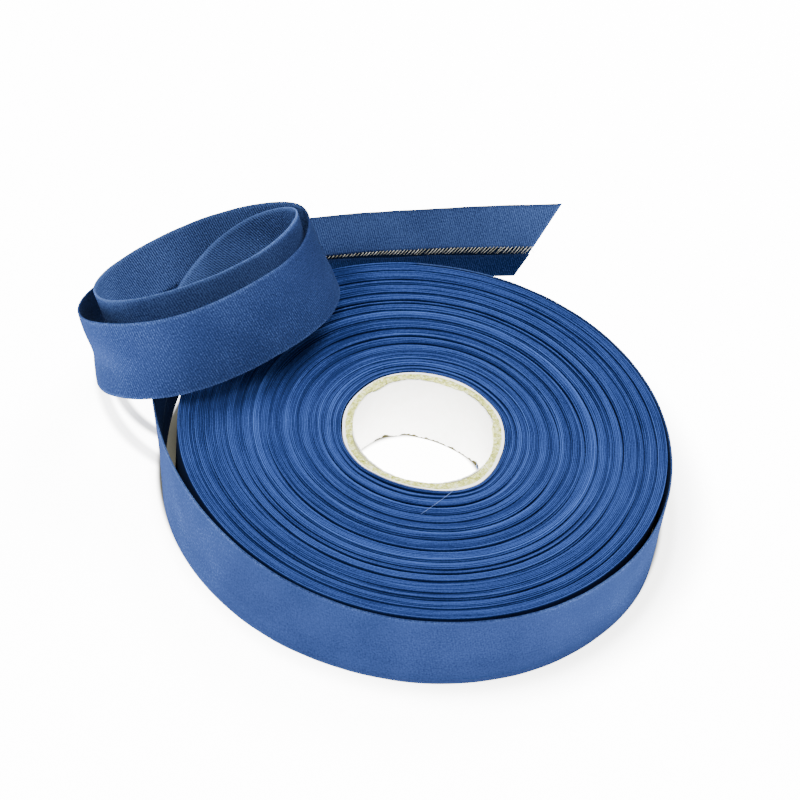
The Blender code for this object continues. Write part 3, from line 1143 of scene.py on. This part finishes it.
def light_and_floor():
    """Glowing white sweep with painted shade and painted shadow, an even surround, a broad soft lamp
    behind and another high in front.
    """
    bpy.ops.object.select_all(action="DESELECT")
    bpy.ops.mesh.primitive_plane_add(size=FLOOR_SIZE, location=(0.0, 0.0, 0.0))
    floor = bpy.context.object
    floor.name = "floor"
    # Matt white, and painted grey under the reel as shade, so that no light comes up between it and the
    # floor
    sweep, tree, shader = new_material("glowing white sweep, painted shade", 0.95)
    painted_shade = add(
        tree,
        "ShaderNodeValToRGB",
        [("Fac", floor_fade(tree, (0.0, 0.0), UNDER_REEL, 0.0, 1.0))],
        stops=((0.0, "#6f6d60"), (1.0, "#f4f4f4")),
    )
    tree.links.new(painted_shade.outputs["Color"], shader.inputs["Base Color"])
    shader.inputs["Emission Color"].default_value = linear("#ffffff")
    tree.links.new(floor_glow(tree), shader.inputs["Emission Strength"])
    floor.data.materials.append(sweep)

    world = bpy.data.worlds.new("surround")
    world.use_nodes = True
    background = world.node_tree.nodes["Background"]
    background.inputs["Color"].default_value = linear("#ffffff")
    background.inputs["Strength"].default_value = SURROUND
    bpy.context.scene.world = world
    for name, place, size, power in LAMPS:
        add_area_light(name, place, (0.0, 0.0, 0.0), size, power, "#ffffff")


def core_ring(name, inside, outside, heights, material):
    """Ring of wall about the core's axis: a circle drawn up the outside, in over the top and down."""
    bpy.ops.object.select_all(action="DESELECT")
    place = ROLL_AXIS + Vector((CORE_CENTRE[0], CORE_CENTRE[1], heights[0])) * MM
    bpy.ops.mesh.primitive_circle_add(
        vertices=CORE_SEGMENTS, radius=outside * MM, fill_type="NOTHING", location=place
    )
    ring = bpy.context.object
    ring.name = name
    narrower = inside / outside
    bpy.ops.object.mode_set(mode="EDIT")
    bpy.ops.mesh.select_all(action="SELECT")
    for low_row, high_row in zip(heights[:-1], heights[1:]):
        rise = (high_row - low_row) * MM
        bpy.ops.mesh.extrude_region_move(TRANSFORM_OT_translate={"value": (0.0, 0.0, rise)})
    bpy.ops.mesh.extrude_region_move()
    bpy.ops.transform.resize(value=(narrower, narrower, 1.0), center_override=place)
    for low_row, high_row in reversed(list(zip(heights[:-1], heights[1:]))):
        drop = (low_row - high_row) * MM
        bpy.ops.mesh.extrude_region_move(TRANSFORM_OT_translate={"value": (0.0, 0.0, drop)})
    bpy.ops.mesh.extrude_region_move()
    bpy.ops.transform.resize(value=(1.0 / narrower, 1.0 / narrower, 1.0), center_override=place)
    bpy.ops.mesh.select_all(action="SELECT")
    bpy.ops.mesh.remove_doubles(threshold=MERGE_DISTANCE * MM)
    bpy.ops.mesh.normals_make_consistent(inside=False)
    bpy.ops.object.mode_set(mode="OBJECT")
    bpy.ops.object.transform_apply(location=True, rotation=True, scale=True)
    bpy.ops.object.shade_smooth_by_angle(angle=math.radians(40.0))
    ring.data.materials.append(material)
    return ring


def press_ring(ring, middle, shape):
    """Presses an even ring out of round: shape gives new radii and heights for its points."""
    mesh = ring.data
    places = np.empty(len(mesh.vertices) * 3)
    mesh.vertices.foreach_get("co", places)
    places = places.reshape(-1, 3) / MM
    centre = np.array(ROLL_AXIS)[:2] / MM + CORE_CENTRE
    east, north = (places[:, :2] - centre).T
    angle = np.arctan2(north, east)
    radius, height = shape(np.degrees(angle), places[:, 2], np.hypot(east, north) > middle)
    places[:, 0] = centre[0] + radius * np.cos(angle)
    places[:, 1] = centre[1] + radius * np.sin(angle)
    places[:, 2] = height
    mesh.vertices.foreach_set("co", (places * MM).ravel())
    mesh.update()


def ragged(degrees, seed, height):
    """Fine uneven steps round a torn edge."""
    rng = np.random.default_rng(seed)
    total = np.zeros_like(degrees)
    for cycles in (17, 29, 41, 67, 97):
        total += np.sin(np.radians(degrees) * cycles + rng.uniform(0.0, math.tau))
    return total * height / 2.5


def foot_inwards(degrees, height):
    """How far the wall's lower part is pressed inwards."""
    lower = np.clip(1.0 - height / PRESSED_HEIGHT, 0.0, 1.0)
    return round_profile(LINING_TEARS, 3, degrees, blur=3.0) * lower**1.5


def outer_paper_shape(degrees, height, outer):
    """The outer paper follows the squashed board, and its inner wall is hidden in it."""
    outline = CORE_RADIUS + round_profile(CORE_SHAPE, 1, degrees, blur=3.0)
    return np.where(outer, outline, OUTER_PAPER_INSIDE), height


def board_shape(degrees, height, outer):
    """The board is squashed, ragged where it was cut, and pressed inwards at its foot."""
    outside = BOARD_OUTSIDE + round_profile(CORE_SHAPE, 2, degrees, blur=2.0)
    outside += ragged(degrees, seed=2, height=0.05)
    inside = BOARD_INSIDE + round_profile(CORE_SHAPE, 3, degrees, blur=2.0)
    inside += ragged(degrees, seed=3, height=0.07)
    inside = np.where(height > CORE_HEIGHT - BOARD_LIP, inside, LINING_INSIDE + BOARD_IN_LINING)
    inside = inside - foot_inwards(degrees, height)
    inside = np.where(height < TORN_LINE_HEIGHT, inside - TORN_LINE_INWARDS, inside)
    return np.where(outer, outside, inside), height


def lining_shape(degrees, height, outer):
    """The lining is torn along its top and its foot, and is pressed inwards with the board."""
    inside = LINING_INSIDE - foot_inwards(degrees, height)
    top = np.where(height > CORE_HEIGHT - LINING_END_ROW, 1.0, 0.0)
    foot = np.where(height < LINING_END_ROW, 1.0, 0.0)
    below = round_profile(LINING_TEARS, 1, degrees, blur=0.4)
    below += ragged(degrees, seed=5, height=0.10)
    above = LINING_FOOT_TEAR * round_profile(LINING_TEARS, 2, degrees, blur=0.7)
    above *= 1.0 + ragged(degrees, seed=6, height=0.5)
    height = height - top * np.maximum(below, 0.0) + foot * np.maximum(above, 0.0)
    return np.where(outer, inside + LINING_THICKNESS, inside), height


def pulp(name, roughness, clumps_per_metre, fineness, stops, relief):
    """Paper or board of wood pulp: matt, mottled by clumps of fibre that also stand up a little."""
    material, tree, shader = new_material(name, roughness)
    fibres = add(
        tree,
        "ShaderNodeTexNoise",
        [
            ("Vector", add(tree, "ShaderNodeTexCoord").outputs["Object"]),
            ("Scale", clumps_per_metre),
            ("Detail", 6.0),
            ("Roughness", fineness),
        ],
    )
    mottle = add(tree, "ShaderNodeValToRGB", [("Fac", fibres.outputs["Fac"])], stops=stops)
    tree.links.new(mottle.outputs["Color"], shader.inputs["Base Color"])
    strength, height = relief
    bump = add(
        tree,
        "ShaderNodeBump",
        [("Height", fibres.outputs["Fac"]), ("Strength", strength), ("Distance", height * MM)],
    )
    tree.links.new(bump.outputs["Normal"], shader.inputs["Normal"])
    return material


def white_paper(name, tint):
    """Uncoated white paper: it looks plain white, with fine fibres and a little dirt close to."""
    stops = ((0.2, "#efeee8"), (0.5, tint), (0.8, "#ffffff"))
    return pulp(name, 0.92, PAPER_CLUMPS_PER_M, 0.7, stops, relief=(0.4, 0.2))


def grey_board():
    """Core board of recycled fibre, cut square: rough, mottled olive-grey and tan."""
    stops = ((0.36, "#767a2c"), (0.5, "#ced272"), (0.64, "#fafcd8"))
    return pulp("recycled core board", 0.95, BOARD_CLUMPS_PER_M, 0.75, stops, relief=(0.8, 0.3))


def plain_finish(name, colour):
    """One dull colour, for a line too thin to show any pattern."""
    material, _, shader = new_material(name, 0.95)
    shader.inputs["Base Color"].default_value = linear(colour)
    return material


def torn_foot(ring, material):
    """The line of torn board under the lining's foot, painted dark as the shade in the gap there."""
    ring.data.materials.append(material)
    centre = ROLL_AXIS.xy + Vector(CORE_CENTRE) * MM
    for face in ring.data.polygons:
        outwards = face.center.xy - centre
        faces_in = face.normal.xy.dot(outwards) < -0.3 * outwards.length
        if faces_in and face.center.z < TORN_LINE_HEIGHT * MM:
            face.material_index = 1


def core_tube():
    """Board tube with white paper outside and in, squashed a little, its inner paper torn."""
    paper = white_paper("white core paper", "#ffffff")
    lining = white_paper("white lining paper", "#f5f4f1")
    board = grey_board()
    lining_outside = LINING_INSIDE + LINING_THICKNESS
    rings = (
        # name, inside, outside, heights of its rows, material, shape
        ("outer_paper", OUTER_PAPER_INSIDE, CORE_RADIUS, OUTER_PAPER_ROWS, paper, outer_paper_shape),
        ("board", BOARD_INSIDE, BOARD_OUTSIDE, BOARD_ROWS, board, board_shape),
        ("lining_paper", LINING_INSIDE, lining_outside, LINING_ROWS, lining, lining_shape),
    )
    for name, inside, outside, heights, material, shape in rings:
        ring = core_ring("core_" + name, inside, outside, heights, material)
        press_ring(ring, (inside + outside) / 2.0, shape)
        if name == "board":
            torn_foot(ring, plain_finish("torn board edge, painted shade", "#3d391f"))
        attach(ring, "root")
        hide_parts("core_tube")


def thread_material(name, dark, middle, light):
    """Cotton thread: dull, its tone uneven from thread to thread, and pale where its ends are cut."""
    material, tree, shader = new_material(name, 0.9, 0.2)
    tone = add(tree, "ShaderNodeAttribute", attribute_name="tone")
    ramp = add(
        tree,
        "ShaderNodeValToRGB",
        [("Fac", tone.outputs["Fac"])],
        stops=((0.0, dark), (0.5, middle), (1.0, light)),
    )
    tree.links.new(ramp.outputs["Color"], shader.inputs["Base Color"])
    return material


def main():
    """Builds the whole scene."""
    set_camera()
    light_and_floor()
    wound, folded, wrong_side_painted_dark = [dyed_cotton(*cotton) for cotton in COTTONS]
    turns = wound_turns(wound)
    path = tape_path()
    tape, length = loose_tape(path, folded, wrong_side_painted_dark)
    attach(tape, "root")
    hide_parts("loose_tape")
    frayed = thread_material("frayed cotton ends", "#132650", "#8b8b78", "#dedccf")
    threads = raw_edge_threads(path, frayed)
    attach(threads, "root")
    stray = stray_threads(thread_material("stray cotton thread", "#3f5688", "#6f8cc8", "#a9bede"))
    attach(stray, "root")
    core_tube()


main()
